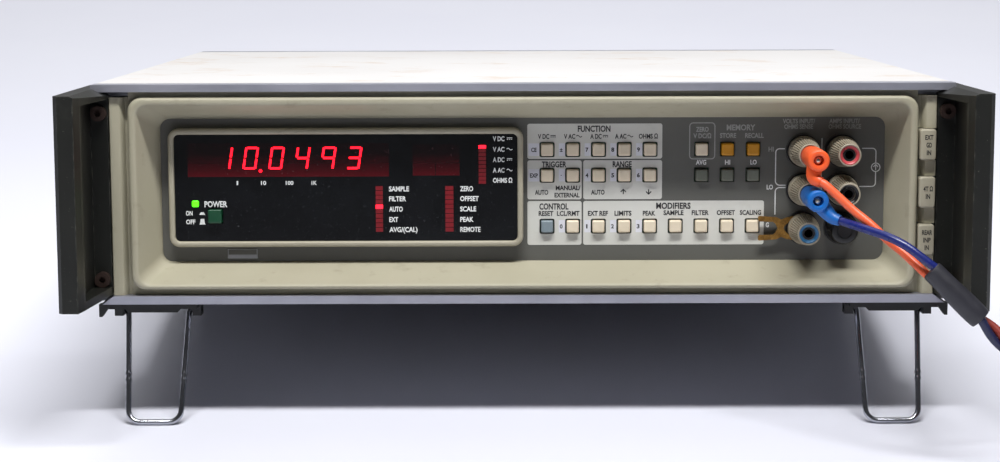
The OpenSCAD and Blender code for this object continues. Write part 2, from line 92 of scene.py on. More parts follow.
camera = bpy.data.objects.new("camera", bpy.data.cameras.new("camera"))
scene.collection.objects.link(camera)
scene.camera = camera
camera.data.lens = 74.5
camera.data.sensor_width = 36
camera.data.clip_start = 0.05
camera.location = (-0.00847, -1.12951, 0.35831)
camera.rotation_euler = [math.radians(turn) for turn in (90 - 15.18, 0.194, 0.106)]

# ------------------------------------------------------------------ surfaces


def tint(code, alpha=1.0):
    """A colour written as six hex digits, as the linear values that shaders take."""
    levels = [int(code[i : i + 2], 16) / 255 for i in (0, 2, 4)]
    linear = [c / 12.92 if c <= 0.04045 else ((c + 0.055) / 1.055) ** 2.4 for c in levels]
    return (*linear, alpha)


class Surface:
    """A node material built up in layers over one Principled shader."""

    def __init__(self, name, code, rough, metallic=0.0, coat=0.0, specular=0.5):
        self.material = bpy.data.materials.new(name)
        self.material.use_nodes = True
        self.tree = self.material.node_tree
        self.shader = self.tree.nodes["Principled BSDF"]
        self.shader.inputs["Metallic"].default_value = metallic
        self.shader.inputs["Coat Weight"].default_value = coat
        self.shader.inputs["Coat Roughness"].default_value = 0.12
        self.shader.inputs["Specular IOR Level"].default_value = specular
        self.material.diffuse_color = tint(code)
        self.place = self.node("TexCoord").outputs["Object"]
        base = self.node("RGB")
        base.outputs[0].default_value = tint(code)
        self.colour = base.outputs[0]
        gloss = self.node("Value")
        gloss.outputs[0].default_value = rough
        self.rough = gloss.outputs[0]
        self.normal = None

    def node(self, kind):
        return self.tree.nodes.new("ShaderNode" + kind)

    def link(self, source, target):
        self.tree.links.new(source, target)

    def noise(self, scale, detail=3.0, roughness=0.55, stretch=(1, 1, 1)):
        """Noise with the given number of features a metre, stretched along an axis if asked."""
        mapping = self.node("Mapping")
        mapping.inputs["Scale"].default_value = stretch
        self.link(self.place, mapping.inputs["Vector"])
        node = self.node("TexNoise")
        node.inputs["Scale"].default_value = scale
        node.inputs["Detail"].default_value = detail
        node.inputs["Roughness"].default_value = roughness
        self.link(mapping.outputs[0], node.inputs["Vector"])
        return node.outputs["Fac"]

    def height(self, low, high):
        """0 at one case height and 1 at another, in millimetres."""
        dot = self.node("VectorMath")
        dot.operation = "DOT_PRODUCT"
        self.link(self.place, dot.inputs[0])
        dot.inputs[1].default_value = UP
        start = ORIGIN.dot(UP)
        return self.ramp(dot.outputs["Value"], start + low * MM, start + high * MM)

    def ramp(self, source, low, high, top=1.0):
        node = self.node("MapRange")
        self.link(source, node.inputs["Value"])
        node.inputs["From Min"].default_value = low
        node.inputs["From Max"].default_value = high
        node.inputs["To Max"].default_value = top
        return node.outputs["Result"]

    def times(self, a, b):
        node = self.node("Math")
        node.operation = "MULTIPLY"
        self.link(a, node.inputs[0])
        self.link(b, node.inputs[1])
        return node.outputs[0]

    def edges(self, radius=0.0012, low=0.02, high=0.25):
        """1 on outer edges, where handling wears a finish away."""
        bevel = self.node("Bevel")
        bevel.samples = 4
        bevel.inputs["Radius"].default_value = radius
        flat = self.node("NewGeometry")
        dot = self.node("VectorMath")
        dot.operation = "DOT_PRODUCT"
        self.link(bevel.outputs[0], dot.inputs[0])
        self.link(flat.outputs["Normal"], dot.inputs[1])
        return self.ramp(dot.outputs["Value"], 1 - low, 1 - high)

    def layer(self, factor, code, rough=None):
        """Lays a colour, and a roughness if given, over what is there, where factor is 1."""
        mix = self.node("Mix")
        mix.data_type = "RGBA"
        self.link(factor, mix.inputs[0])
        self.link(self.colour, mix.inputs[6])
        mix.inputs[7].default_value = tint(code)
        self.colour = mix.outputs[2]
        if rough is not None:
            self.gloss(factor, rough)
        return self

    def gloss(self, factor, rough):
        blend = self.node("Mix")
        self.link(factor, blend.inputs["Factor"])
        self.link(self.rough, blend.inputs["A"])
        blend.inputs["B"].default_value = rough
        self.rough = blend.outputs["Result"]
        return self

    def bump(self, source, depth):
        """Raises the surface by depth millimetres where source is 1."""
        node = self.node("Bump")
        node.inputs["Distance"].default_value = depth * MM
        self.link(source, node.inputs["Height"])
        if self.normal is not None:
            self.link(self.normal, node.inputs["Normal"])
        self.normal = node.outputs[0]
        return self

    def glow(self, code, power):
        self.shader.inputs["Emission Color"].default_value = tint(code)
        self.shader.inputs["Emission Strength"].default_value = power
        return self

    def done(self):
        self.link(self.colour, self.shader.inputs["Base Color"])
        self.link(self.rough, self.shader.inputs["Roughness"])
        if self.normal is not None:
            self.link(self.normal, self.shader.inputs["Normal"])
        return self.material


def moulded(name, code, shade, rough=0.45, grain=0.02):
    """Moulded plastic: slightly cloudy colour, uneven gloss and a fine spark-eroded grain."""
    s = Surface(name, code, rough)
    s.layer(s.ramp(s.noise(45, 4), 0.35, 0.75, 0.8), shade)
    s.gloss(s.ramp(s.noise(160, 3), 0.4, 0.7), rough + 0.12)
    s.bump(s.noise(2600, 2), grain)
    return s.done()


def painted(name, code, shade, rough=0.5, grain=0.03, dirt="6B6350", amount=0.4):
    """Enamel with orange peel, handling marks and grime in soft patches."""
    s = Surface(name, code, rough)
    s.layer(s.ramp(s.noise(14, 5), 0.35, 0.7, 0.7), shade)
    s.layer(s.ramp(s.noise(85, 6, 0.65), 0.58, 0.78, amount), dirt, rough + 0.15)
    s.gloss(s.ramp(s.noise(220, 3), 0.4, 0.7, 0.6), rough + 0.12)
    s.bump(s.noise(900, 2), grain)
    return s.done()


def metal(name, code, shade, rough, brushed=(1, 1, 1), depth=0.004, metallic=1.0):
    """Bare or plated metal, brushed along the axis that isn't stretched."""
    s = Surface(name, code, rough, metallic=metallic)
    s.layer(s.ramp(s.noise(30, 4), 0.35, 0.7, 0.6), shade)
    s.gloss(s.ramp(s.noise(120, 4, 0.6, brushed), 0.35, 0.65, 0.8), min(1.0, rough * 1.6))
    s.bump(s.noise(500, 3, 0.6, brushed), depth)
    return s.done()


def scuffed():
    """Dark handle paint, worn to grey on its edges and flecked with chips and dust."""
    s = Surface("handle_black", "171815", 0.4, specular=0.4)
    s.layer(s.ramp(s.noise(22, 5), 0.35, 0.7, 0.75), "20211D")
    rub = s.times(s.edges(0.0014, 0.02, 0.3), s.ramp(s.noise(190, 6, 0.75), 0.48, 0.66, 0.7))
    s.layer(rub, "6E6D64", 0.55)
    s.layer(s.ramp(s.noise(650, 3, 0.75), 0.68, 0.76, 0.7), "8C897C", 0.7)
    s.layer(s.ramp(s.noise(60, 8, 0.7), 0.62, 0.78, 0.4), "3A3A34", 0.6)
    s.bump(s.noise(1100, 3), 0.05)
    return s.done()


def stained_cover():
    """Pale cover enamel with brown rings and blotches where things stood on it."""
    s = Surface("cover_white", "D9D7D6", 0.4)
    s.layer(s.ramp(s.noise(9, 4), 0.4, 0.7, 0.5), "CDCAC8")
    s.layer(s.ramp(s.noise(26, 7, 0.68), 0.56, 0.7, 0.55), "C2AC94", 0.5)
    s.layer(s.ramp(s.noise(420, 3, 0.7), 0.7, 0.78, 0.6), "8A7862", 0.6)
    s.bump(s.noise(800, 2), 0.03)
    return s.done()


def dusty_window():
    """Smoked display plastic with settled dust, thicker towards its lower edge."""
    s = Surface("window_smoke", "08090B", 0.2, coat=0.15, specular=0.4)
    s.layer(s.ramp(s.noise(40, 6, 0.7), 0.4, 0.8, 0.35), "181C20", 0.34)
    low = s.height(80, 28)
    s.layer(s.times(s.ramp(s.noise(1300, 2, 0.6), 0.66, 0.76, 0.5), low), "5C6064", 0.6)
    s.layer(s.times(s.ramp(s.noise(260, 4, 0.7), 0.7, 0.78, 0.5), low), "7E8284", 0.7)
    s.bump(s.noise(700, 2), 0.004)
    return s.done()


def red_filter():
    """Red filter over the lamps, with painted light and shade: darker at the top and redder low down, where
    light reaches it.
    """
    s = Surface("red_filter", "140306", 0.18, coat=0.3)
    # Painted shade and light: the red is laid on towards the bottom, so the top stays dark
    s.layer(s.height(72, 60.5), "5A0A14")
    s.layer(s.ramp(s.noise(900, 2, 0.6), 0.66, 0.74, 0.4), "6A4045", 0.5)
    s.bump(s.noise(500, 2), 0.003)
    return s.done()


def tarnished_brass():
    s = Surface("brass_tarnished", "A37A3C", 0.36, metallic=0.85)
    s.layer(s.ramp(s.noise(240, 6, 0.7), 0.42, 0.62, 0.85), "6E4F26", 0.55)
    s.layer(s.ramp(s.noise(700, 5, 0.7), 0.55, 0.7, 0.6), "C49A58", 0.3)
    s.bump(s.noise(900, 4), 0.03)
    return s.done()


def soft_pvc(name, code, shade, rough=0.38):
    """Flexible PVC: even colour, soft sheen, slight drawing lines."""
    s = Surface(name, code, rough)
    s.layer(s.ramp(s.noise(60, 4), 0.4, 0.7, 0.6), shade)
    s.gloss(s.ramp(s.noise(300, 4), 0.4, 0.7), rough + 0.15)
    s.bump(s.noise(1500, 2), 0.01)
    return s.done()


def lamp(name, code, glow, power):
    s = Surface(name, code, 0.35)
    s.layer(s.ramp(s.noise(900, 3), 0.4, 0.7, 0.4), glow)
    s.bump(s.noise(1500, 2), 0.01)
    return s.glow(glow, power).done()


def ink(name, code, shade):
    """Screen-printed ink, a little worn."""
    s = Surface(name, code, 0.55)
    s.layer(s.ramp(s.noise(700, 5, 0.7), 0.45, 0.75, 0.7), shade)
    s.bump(s.noise(2500, 2), 0.004)
    return s.done()


HANDLE = scuffed()
COVER = stained_cover()
SHEET = painted("bottom_grey", "8E8F92", "7C7D80", 0.5)
CHASSIS = metal("chassis_zinc", "8E9094", "74767A", 0.42, metallic=0.8)
TRIM = metal("trim_silver", "B9BAC4", "9A9CA8", 0.34, (0.06, 1, 1), 0.006, 0.75)
STEEL = metal("screw_steel", "4A3A34", "2B2422", 0.5, metallic=0.7)
BEZEL = painted("bezel_beige", "A9A48F", "9D9882", 0.5, 0.025, "6A634C", 0.35)
FRAME_PAINT = painted("window_frame_beige", "ABA592", "9C9683", 0.42, 0.02, "6A6450", 0.3)
PANEL = painted("panel_grey", "5E5E59", "54544F", 0.5, 0.012, "6A6A62", 0.25)
WINDOW = dusty_window()
FILTER = red_filter()
LABEL = painted("label_white", "CFCFC8", "C4C4BC", 0.45, 0.006, "A8A498", 0.3)
PATCH = painted("label_pale", "DADBE2", "CDCED6", 0.45, 0.006, "B0B0B0", 0.2)
BADGE = metal("badge_silver", "A8A9AC", "77787C", 0.35, (0.1, 1, 1), 0.004, 0.7)
BOARD = painted("board_green", "1E5A38", "174A2D", 0.4)
REAR = painted("rear_grey", "B9B8B2", "A9A8A1", 0.5)
REAR_PLASTIC = moulded("rear_black", "1C1C1D", "262627", 0.45)
IRON = metal("transformer_iron", "5A5550", "3E3A36", 0.5, metallic=0.7)
COLLAR = moulded("terminal_black", "0D0D0E", "1A1A1B", 0.3)
BRASS = tarnished_brass()
FOOT = moulded("foot_black", "141415", "202021", 0.42, 0.04)
CHROME = metal("bail_chrome", "B9BBC2", "74767E", 0.14, (1, 1, 0.1), 0.002)
NICKEL = metal("jack_nickel", "D6D0C4", "8E877A", 0.2)
GREEN = moulded("power_green", "0E4A2E", "0A3823", 0.3)
SIDE = moulded("side_button_beige", "A8A28F", "98927F", 0.42, 0.02)
CAP = moulded("post_cap_stone", "A39A88", "8C8372", 0.42, 0.03)
# A darker colour for the faces in the grooves between the ribs
CAP_GROOVE = moulded("post_cap_groove_dark", "857C6B", "716856", 0.55, 0.03)
CREAM = moulded("key_cream", "E2D5BD", "D3C5AB", 0.35)
AMBER = moulded("key_amber", "D2941C", "BC7F12", 0.35)
DARK = moulded("key_dark", "62665B", "53574D", 0.38)
SLATE = moulded("key_slate", "7F8D93", "707E85", 0.35)
RED_INSERT = moulded("insert_red", "C44A50", "A93D44", 0.3)
BLACK_INSERT = moulded("insert_black", "121213", "1D1D1E", 0.3)
BLUE_INSERT = moulded("insert_blue", "3F7CA8", "346A92", 0.3)
ORANGE_PLUG = soft_pvc("plug_orange", "F4602C", "E45424", 0.36)
BLUE_PLUG = soft_pvc("plug_blue", "0D66B8", "0A58A4", 0.36)
ORANGE_WIRE = soft_pvc("wire_orange_pvc", "F0653A", "E25A30", 0.34)
BLUE_WIRE = soft_pvc("wire_blue_pvc", "1D2870", "172060", 0.26)
NAVY_WIRE = soft_pvc("pair_navy_pvc", "22264A", "1B1F3E", 0.36)
RED_WIRE = soft_pvc("pair_red_pvc", "8A3328", "7A2B22", 0.4)
SLEEVE = soft_pvc("sleeve_black", "2C2C33", "232329", 0.42)
RED_PLUG = soft_pvc("plug_red", "B5281E", "A12118", 0.36)
BLACK_PLUG = soft_pvc("plug_black", "18181A", "222224", 0.36)
SEGMENT = lamp("lamp_red_lit", "FF1828", "FF0C1E", 4.6)
BAR_LIT = lamp("bar_red_lit", "FF2030", "FF1426", 3.6)
BAR_DIM = lamp("bar_red_dim", "6A0C16", "8A0C18", 0.12)
POWER_LAMP = lamp("lamp_green_lit", "4CE018", "46F00E", 2.2)
INK_DARK = ink("ink_black", "1B1B1D", "2C2C2E")
INK_WHITE = ink("ink_white", "E6E8E6", "CDD0CE")
# White print made grey: painted shade for the legends high on the panel, where the top of the recess shades
# them
INK_WHITE_SHADED = ink("ink_white_painted_shade", "9A9C98", "84867F")

# ------------------------------------------------------------------ mesh helpers


class Shape:
    """One piece's vertices and faces, gathered part by part, each part with its material."""

    def __init__(self):
        self.verts = []
        self.faces = []
        self.slots = []
        self.materials = []

    def add(self, part, material):
        verts, faces = part
        if material not in self.materials:
            self.materials.append(material)
        start = len(self.verts)
        self.verts.extend(verts)
        self.faces.extend([tuple(start + i for i in face) for face in faces])
        self.slots.extend([self.materials.index(material)] * len(faces))
        return self

    def piece(self, name, body, *replaced, space=CASE, sharp=38):
        """Makes the object, lets it ride on its body and take the place of CAD nodes."""
        mesh = bpy.data.meshes.new(name)
        mesh.from_pydata([space @ Vector(v) for v in self.verts], [], self.faces)
        for material in self.materials:
            mesh.materials.append(material)
        mesh.polygons.foreach_set("material_index", self.slots)
        build = bmesh.new()
        build.from_mesh(mesh)
        bmesh.ops.recalc_face_normals(build, faces=build.faces)
        for edge in build.edges:
            edge.smooth = edge.calc_face_angle(4) < math.radians(sharp)
        for face in build.faces:
            face.smooth = True
        build.to_mesh(mesh)
        build.free()
        obj = bpy.data.objects.new(name, mesh)
        scene.collection.objects.link(obj)
        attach(obj, body)
        if replaced:
            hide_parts(*replaced)
        return obj


def loft(loops, closed=False):
    """Joins loops of equal length with quads. Closed joins the last to the first."""
    count = len(loops[0])
    verts = [point for loop in loops for point in loop]
    faces = []
    spans = len(loops) if closed else len(loops) - 1
    for a in range(spans):
        b = (a + 1) % len(loops)
        for i in range(count):
            j = (i + 1) % count
            faces.append((a * count + i, a * count + j, b * count + j, b * count + i))
    if not closed:
        faces.append(tuple(range(count)))
        faces.append(tuple((len(loops) - 1) * count + i for i in range(count)))
    return verts, faces


def rounded(x, z, radius, y, steps=6):
    """Loop of a rectangle with rounded corners, at depth y."""
    radius = max(radius, 0.02)
    loop = []
    corners = ((x[1], z[1], 0), (x[0], z[1], 90), (x[0], z[0], 180), (x[1], z[0], 270))
    for cx, cz, start in corners:
        mx = cx + (radius if cx == x[0] else -radius)
        mz = cz + (radius if cz == z[0] else -radius)
        for i in range(steps + 1):
            a = math.radians(start + 90 * i / steps)
            loop.append((mx + radius * math.cos(a), y, mz + radius * math.sin(a)))
    return loop


def inset(span, by):
    return (span[0] + by, span[1] - by)


def pad(x, z, radius, front, back, edge=0.5, dish=0.0):
    """A block facing the front, its front edge rounded and its face slightly hollowed."""
    half = min(x[1] - x[0], z[1] - z[0]) / 2
    rows = [
        (0, back),
        (0, front + edge),
        (0.08 * edge, front + 0.62 * edge),
        (0.3 * edge, front + 0.3 * edge),
        (0.62 * edge, front + 0.08 * edge),
        (edge, front),
    ]
    if dish:
        for share in (0.45, 0.7, 0.92):
            rows.append((half * share, front + dish * share))
    return loft([rounded(inset(x, d), inset(z, d), radius * (1 - d / half), y) for d, y in rows])


def turned(x, z, profile, count=48, ribs=0, depth=0.0, hollow=False):
    """A shape turned about a line along y. Profile rows are (radius, y, ribbed or not)."""
    loops = []
    for row in profile:
        radius, y = row[0], row[1]
        cut = depth if ribs and len(row) > 2 else 0
        loop = []
        for i in range(count):
            a = 2 * math.pi * i / count
            r = radius - cut * (0.5 - 0.5 * math.cos(ribs * a)) ** 2
            loop.append((x + r * math.cos(a), y, z + r * math.sin(a)))
        loops.append(loop)
    return loft(loops, closed=hollow)


def smooth_route(points, step=3.0):
    """Points every few millimetres on a smooth curve through the route's points."""
    rows = [Vector(p) for p in points]
    rows = [2 * rows[0] - rows[1]] + rows + [2 * rows[-1] - rows[-2]]
    out = []
    for i in range(1, len(rows) - 2):
        a, b, c, d = rows[i - 1 : i + 3]
        parts = max(1, round((c - b).length / step))
        for k in range(parts):
            t = k / parts
            out.append(
                0.5 * (2 * b + (c - a) * t + (2 * a - 5 * b + 4 * c - d) * t**2
                + (3 * b - a - 3 * c + d) * t**3)
            )
    out.append(rows[-2])
    return out


def frames(points):
    """A side and an up direction at each point that turn as little as they can."""
    ahead = [(points[min(i + 1, len(points) - 1)] - points[max(i - 1, 0)]).normalized()
             for i in range(len(points))]
    side = ahead[0].cross(Vector((0.1, 0.2, 1))).normalized()
    out = []
    for direction in ahead:
        side = (side - direction * side.dot(direction)).normalized()
        out.append((side, direction.cross(side)))
    return out


def tube(points, radii, count=16):
    """A round tube along points. Radii is one number or one for each point."""
    points = [Vector(p) for p in points]
    if not isinstance(radii, (list, tuple)):
        radii = [radii] * len(points)
    loops = []
    for point, radius, (side, up) in zip(points, radii, frames(points)):
        turns = [2 * math.pi * i / count for i in range(count)]
        loops.append([point + radius * (math.cos(a) * side + math.sin(a) * up) for a in turns])
    return loft(loops)


# ------------------------------------------------------------------ test lead

WIRE_D = 4
TWIST = 44
ORANGE_ROUTE = [
    (136, -184, 127), (141, -187, 125), (147, -190, 120), (154, -194, 114), (161, -199, 109),
    (168, -204, 103), (175, -210, 98), (181, -216, 93), (187, -222, 88),
]
BLUE_ROUTE = [
    (145, -188, 109), (149, -191, 108), (154, -196.5, 107.5), (159, -202.5, 107), (164, -208, 106.5),
    (169, -213, 105.5), (175, -217.5, 103), (181, -221, 99), (188, -223.5, 94),
]
SLEEVE_FROM = Vector((186, -223, 93))
SLEEVE_TO = Vector((208, -231, 72))
CABLE_ROUTE = [
    (207, -231, 73), (212, -232, 68), (219, -235, 60), (227, -240, 50), (236, -247, 38),
    (245, -255, 27), (253, -261, 19), (259, -264, 15.4),
]
COIL_CENTRE = (282, -225)
# The coil's course: angle in degrees, radius and height of the pair's middle
COIL_COURSE = [
    (252, 44.4, 13.4), (300, 44, 12.0), (370, 44, 12.0), (440, 44, 12.0), (480, 40, 12.6),
    (520, 34.8, 12.4), (560, 34.8, 8.3), (600, 36, 4.4), (640, 37, 4.1), (1295, 51.2, 4.1),
]
TAIL_ROUTE = [(245.5, -262, 4.1), (251, -269.5, 4.2), (257, -275.5, 4.6), (264, -282, 5.1)]
TAIL_PLUGS = (Vector((265, -283, 5.2)), Vector((275, -303, 5.2)))


def coil_points():
    """The coil's middle line: one turn on top, then a spiral outwards on the bench."""
    out = []
    for (a0, r0, z0), (a1, r1, z1) in zip(COIL_COURSE, COIL_COURSE[1:]):
        steps = max(2, round((a1 - a0) / 12))
        for k in range(steps):
            t = k / steps
            a = math.radians(a0 + (a1 - a0) * t)
            r = r0 + (r1 - r0) * t
            z = z0 + (z1 - z0) * t
            out.append((COIL_CENTRE[0] + r * math.cos(a), COIL_CENTRE[1] + r * math.sin(a), z))
    return out


def twisted_pair(route):
    """Two wires laid round each other along a route, one navy and one red."""
    shape = Shape()
    walked = 0
    courses = ([], [])
    for i, (point, (side, up)) in enumerate(zip(route, frames(route))):
        if i:
            walked += (point - route[i - 1]).length
        turn = 2 * math.pi * walked / TWIST
        arm = WIRE_D / 2 * (math.cos(turn) * side + math.sin(turn) * up)
        courses[0].append(point + arm)
        courses[1].append(point - arm)
    shape.add(tube(courses[0], WIRE_D / 2, 14), NAVY_WIRE)
    shape.add(tube(courses[1], WIRE_D / 2, 14), RED_WIRE)
    return shape


def seated_plug(name, z, route, material):
    """Stacking banana plug in a binding post, with the boss that its wire leaves from."""
    x = POST_X[0]
    shape = Shape()
    profile = [
        (2.0, -4.2), (4.5, -4.2), (4.62, -4.6), (4.62, -11), (4.9, -11.6), (5.2, -13), (5.2, -30.4),
        (5.1, -31.2), (4.75, -31.8), (4.3, -32), (3.1, -32), (2.65, -31.8), (2.4, -31.2),
        (2.4, -22), (2.2, -22),
    ]
    shape.add(turned(x, z, profile, 40), material)
    shape.add(turned(x, z, [(2.1, -22), (2.1, -28), (1.9, -29), (1.2, -29.6), (0.3, -29.8)], 24), NICKEL)
    shape.add(turned(x, z, [(2, -4), (2, 13), (1.4, 14), (0.4, 14.3)], 20), NICKEL)
    start = CASE @ Vector((x, -24, z)) / MM
    target = Vector(route[0])
    along = (target - start).normalized()
    bend = (Vector(route[1]) - target).normalized()
    centres = smooth_route(
        [start, start + along * 3, target - along * 1.5, target + bend * 1.2, target + bend * 4.5], 1.2)
    shares = [row / (len(centres) - 1) for row in range(len(centres))]
    radii = [4.5 - 1.3 * min(1, share / 0.7) - 0.7 * max(0, share - 0.7) / 0.3 for share in shares]
    verts, faces = tube(centres, radii, 20)
    to_case = CASE.inverted() @ BENCH
    shape.add(([to_case @ vert for vert in verts], faces), material)
    shape.piece(name, "case", "lead_fittings")


seated_plug("plug_orange_seated", POST_Z[0], ORANGE_ROUTE, ORANGE_PLUG)
seated_plug("plug_blue_seated", POST_Z[1], BLUE_ROUTE, BLUE_PLUG)


def single_wire(name, route, node, material):
    points = smooth_route(route, 3)
    wire = Shape().add(tube(points, WIRE_D / 2, 18), material).piece(name, "case", node, space=BENCH)


single_wire("lead_wire_orange", ORANGE_ROUTE, "wire_orange", ORANGE_WIRE)
single_wire("lead_wire_blue", BLUE_ROUTE, "wire_blue", BLUE_WIRE)

sleeve_axis = (SLEEVE_TO - SLEEVE_FROM).normalized()
sleeve_rows = [(-0.4, 4.3), (0, 4.8), (1.2, 5.0), (8, 5.0), (15, 5.35), (22, 5.5), (27, 5.45),
               (30.2, 5.2), (31, 4.9), (31.2, 4.2)]
Shape().add(
    tube([SLEEVE_FROM + sleeve_axis * s for s, _ in sleeve_rows], [r for _, r in sleeve_rows], 28),
    SLEEVE,
).piece("lead_sleeve", "case", "lead_fittings", space=BENCH)


def loose_plug(name, offset, material):
    """Banana plug that lies on the bench at the pair's far end."""
    start, end = TAIL_PLUGS
    ahead = (end - start).normalized()
    side = ahead.cross(Vector((0, 0, 1))).normalized() * offset
    body = [(-3.5, 2.2), (-3, 2.6), (0, 3.2), (1.2, 4.4), (2.4, 5.1), (7, 5.2), (7.6, 4.8), (8.6, 4.8),
            (9.2, 5.2), (14, 5.2), (14.6, 4.8), (15.6, 4.8), (16.2, 5.2), (24.6, 5.2), (25.6, 4.8), (26, 3.6)]
    pin = [(25.5, 1.9), (27, 1.9), (29, 2.0), (34, 2.15), (39, 2.0), (42, 1.7), (43.6, 1.1), (44, 0.4)]
    shape = Shape()
    for rows, count, finish in ((body, 28, material), (pin, 20, NICKEL)):
        shape.add(tube([start + side + ahead * s for s, _ in rows], [r for _, r in rows], count), finish)
    return shape.piece(name, "case", "lead_fittings", space=BENCH)


tail_plugs = [
    loose_plug("plug_loose_red", 5.5, RED_PLUG),
    loose_plug("plug_loose_black", -5.5, BLACK_PLUG),
]
pair_route = smooth_route(CABLE_ROUTE + coil_points() + TAIL_ROUTE, 3)
pair = twisted_pair(pair_route).piece("lead_pair", "case", "lead_cable", "cable_coil", space=BENCH)

# ------------------------------------------------------------------ bezel and window frame

RIM_X = (-190.8, 190.8)
RIM_Z = (7.2, 100.7)
MOUTH_X = (-187, 187)
MOUTH_Z = (9.5, 96.8)
FLOOR_X = (-178.5, 178.5)
FLOOR_Z = (18, 89)
FLANGE_Z = (4.1, 100.7)
SLOT_H = 15.6


def flange(side, z):
    """A length of the flange beside the rim, with the shallow channel next to it."""
    section = [(200, 3.4), (199.6, 3), (195.3, 3), (194.7, 3.4), (192.9, 7.1), (190.6, 7.3),
               (190.6, 7.8), (200, 7.8)]
    return loft([[(side * x, y, level) for x, y in section] for level in z])


def narrow_flange(z):
    """What is left of the flange beside a button's slot."""
    section = [(191.2, 7.2), (190.6, 7.3), (190.6, 7.8), (191.2, 7.8)]
    return loft([[(x, y, level) for x, y in section] for level in z])


def border_loft(rows):
    """A closed border. Rows are (x span, z span, inset in x, inset in z, corner radius, depth)."""
    return loft([rounded(inset(x, a), inset(z, b), r, y) for x, z, a, b, r, y in rows], closed=True)


RIM = (RIM_X, RIM_Z)
MOUTH = (MOUTH_X, MOUTH_Z)
FLOOR = (FLOOR_X, FLOOR_Z)
bezel = Shape()
bezel.add(
    border_loft([
        (*RIM, 0, 0, 7, 6.6), (*RIM, 0, 0, 7, 1.6), (*RIM, 0.3, 0.3, 7, 0.7), (*RIM, 1.0, 1.0, 6.6, 0.1),
        (*RIM, 1.7, 1.4, 6.3, 0), (*MOUTH, -1.0, -0.8, 6.6, 0), (*MOUTH, -0.3, -0.3, 6.2, 0.3),
        (*MOUTH, 0.3, 0.4, 5.8, 1.2), (*FLOOR, -0.6, -0.6, 5.4, 20.8), (*FLOOR, 0, 0, 5, 21.6),
        (*FLOOR, 0, 0, 5, 21.97), (*FLOOR, -1.6, -1.6, 5.6, 21.97), (*MOUTH, -1.6, -1.4, 6.6, 6.6),
    ]),
    BEZEL,
)
bezel.add(flange(-1, FLANGE_Z), BEZEL)
slot_edges = [FLANGE_Z[1]] + [z + s * SLOT_H / 2 for z in SIDE_Z for s in (1, -1)] + [FLANGE_Z[0]]
for top, bottom in zip(slot_edges[0::2], slot_edges[1::2]):
    bezel.add(flange(1, (top, bottom)), BEZEL)
for z in SIDE_Z:
    bezel.add(narrow_flange((z - SLOT_H / 2, z + SLOT_H / 2)), BEZEL)
# Ledges above and below the rim, behind the trim strips
for z in ((FLANGE_Z[0], 7.6), (99.6, 103.4)):
    bezel.add(pad((-191, 191), z, 0.1, 5.2, 6.4, 0.2), BEZEL)
# Webs that close the rim's rounded corners
for side in (-1, 1):
    for level, inward in ((RIM_Z[0] - 0.1, 1), (RIM_Z[1] + 0.1, -1)):
        corner = [(190.9, level), (190.9, level + 7 * inward), (183.9, level)]
        bezel.add(loft([[(side * x, y, z) for x, z in corner] for y in (5.3, 7.8)]), BEZEL)
bezel.piece("bezel", "case", "front_bezel")

border = Shape()
border_rows = [(0, 5, 22), (0, 5, 17.2), (0.25, 4.8, 16.4), (0.8, 4.3, 16), (2.0, 3.2, 16),
               (2.45, 2.9, 16.2), (2.8, 2.5, 16.8), (2.8, 2.5, 22)]
border.add(border_loft([(WINDOW_X, WINDOW_Z, d, d, r, y) for d, r, y in border_rows]), FRAME_PAINT)
border.piece("display_border", "case", "window_frame")

# ------------------------------------------------------------------ flat print and lamps


def flat(x, z, y, radius=0.3):
    """A rounded patch that lies on a face."""
    loop = rounded(x, z, radius, y, 4)
    return loop, [tuple(range(len(loop)))]


def stroke(points, width, y, closed=False):
    """A printed line of even width through points given as (x, z)."""
    rows = [Vector(p) for p in points]
    count = len(rows)
    verts = []
    for i, p in enumerate(rows):
        before = rows[i - 1] if i or closed else p
        after = rows[(i + 1) % count] if i + 1 < count or closed else p
        a = (p - before).normalized() if p != before else (after - p).normalized()
        b = (after - p).normalized() if after != p else a
        across = Vector((-(a + b).y, (a + b).x)).normalized()
        reach = width / 2 / max(0.5, across.dot(Vector((-a.y, a.x))))
        verts.append((p.x + across.x * reach, y, p.y + across.y * reach))
        verts.append((p.x - across.x * reach, y, p.y - across.y * reach))
    spans = count if closed else count - 1
    faces = []
    for i in range(spans):
        j = (i + 1) % count
        faces.append((2 * i, 2 * i + 1, 2 * j + 1, 2 * j))
    return verts, faces


def arc(cx, cz, radius, start, end, steps=6):
    turns = [math.radians(start + (end - start) * i / steps) for i in range(steps + 1)]
    return [(cx + radius * math.cos(a), cz + radius * math.sin(a)) for a in turns]


letters = bpy.data.curves.new("letters", "FONT")
letters.offset = 0.03
letters.resolution_u = 3
letter_object = bpy.data.objects.new("letters", letters)
scene.collection.objects.link(letter_object)


def outline(text):
    """Flat vertices and faces of some words, at the font's own size."""
    letters.body = text
    graph = bpy.context.evaluated_depsgraph_get()
    mesh = letter_object.evaluated_get(graph).to_mesh()
    verts = [(v.co.x, v.co.y) for v in mesh.vertices]
    faces = [tuple(p.vertices) for p in mesh.polygons]
    letter_object.evaluated_get(graph).to_mesh_clear()
    return verts, faces


CAPITAL = max(v[1] for v in outline("H")[0]) - min(v[1] for v in outline("H")[0])


def word(text, x, z, width, height, y, side="middle"):
    """Words set to a width and a capital height, centred on x or starting there."""
    verts, faces = outline(text)
    low = min(v[0] for v in verts)
    high = max(v[0] for v in verts)
    across = width / (high - low)
    up = height / CAPITAL
    start = x - width / 2 if side == "middle" else x
    return [(start + (a - low) * across, y, z + (b - CAPITAL / 2) * up) for a, b in verts], faces


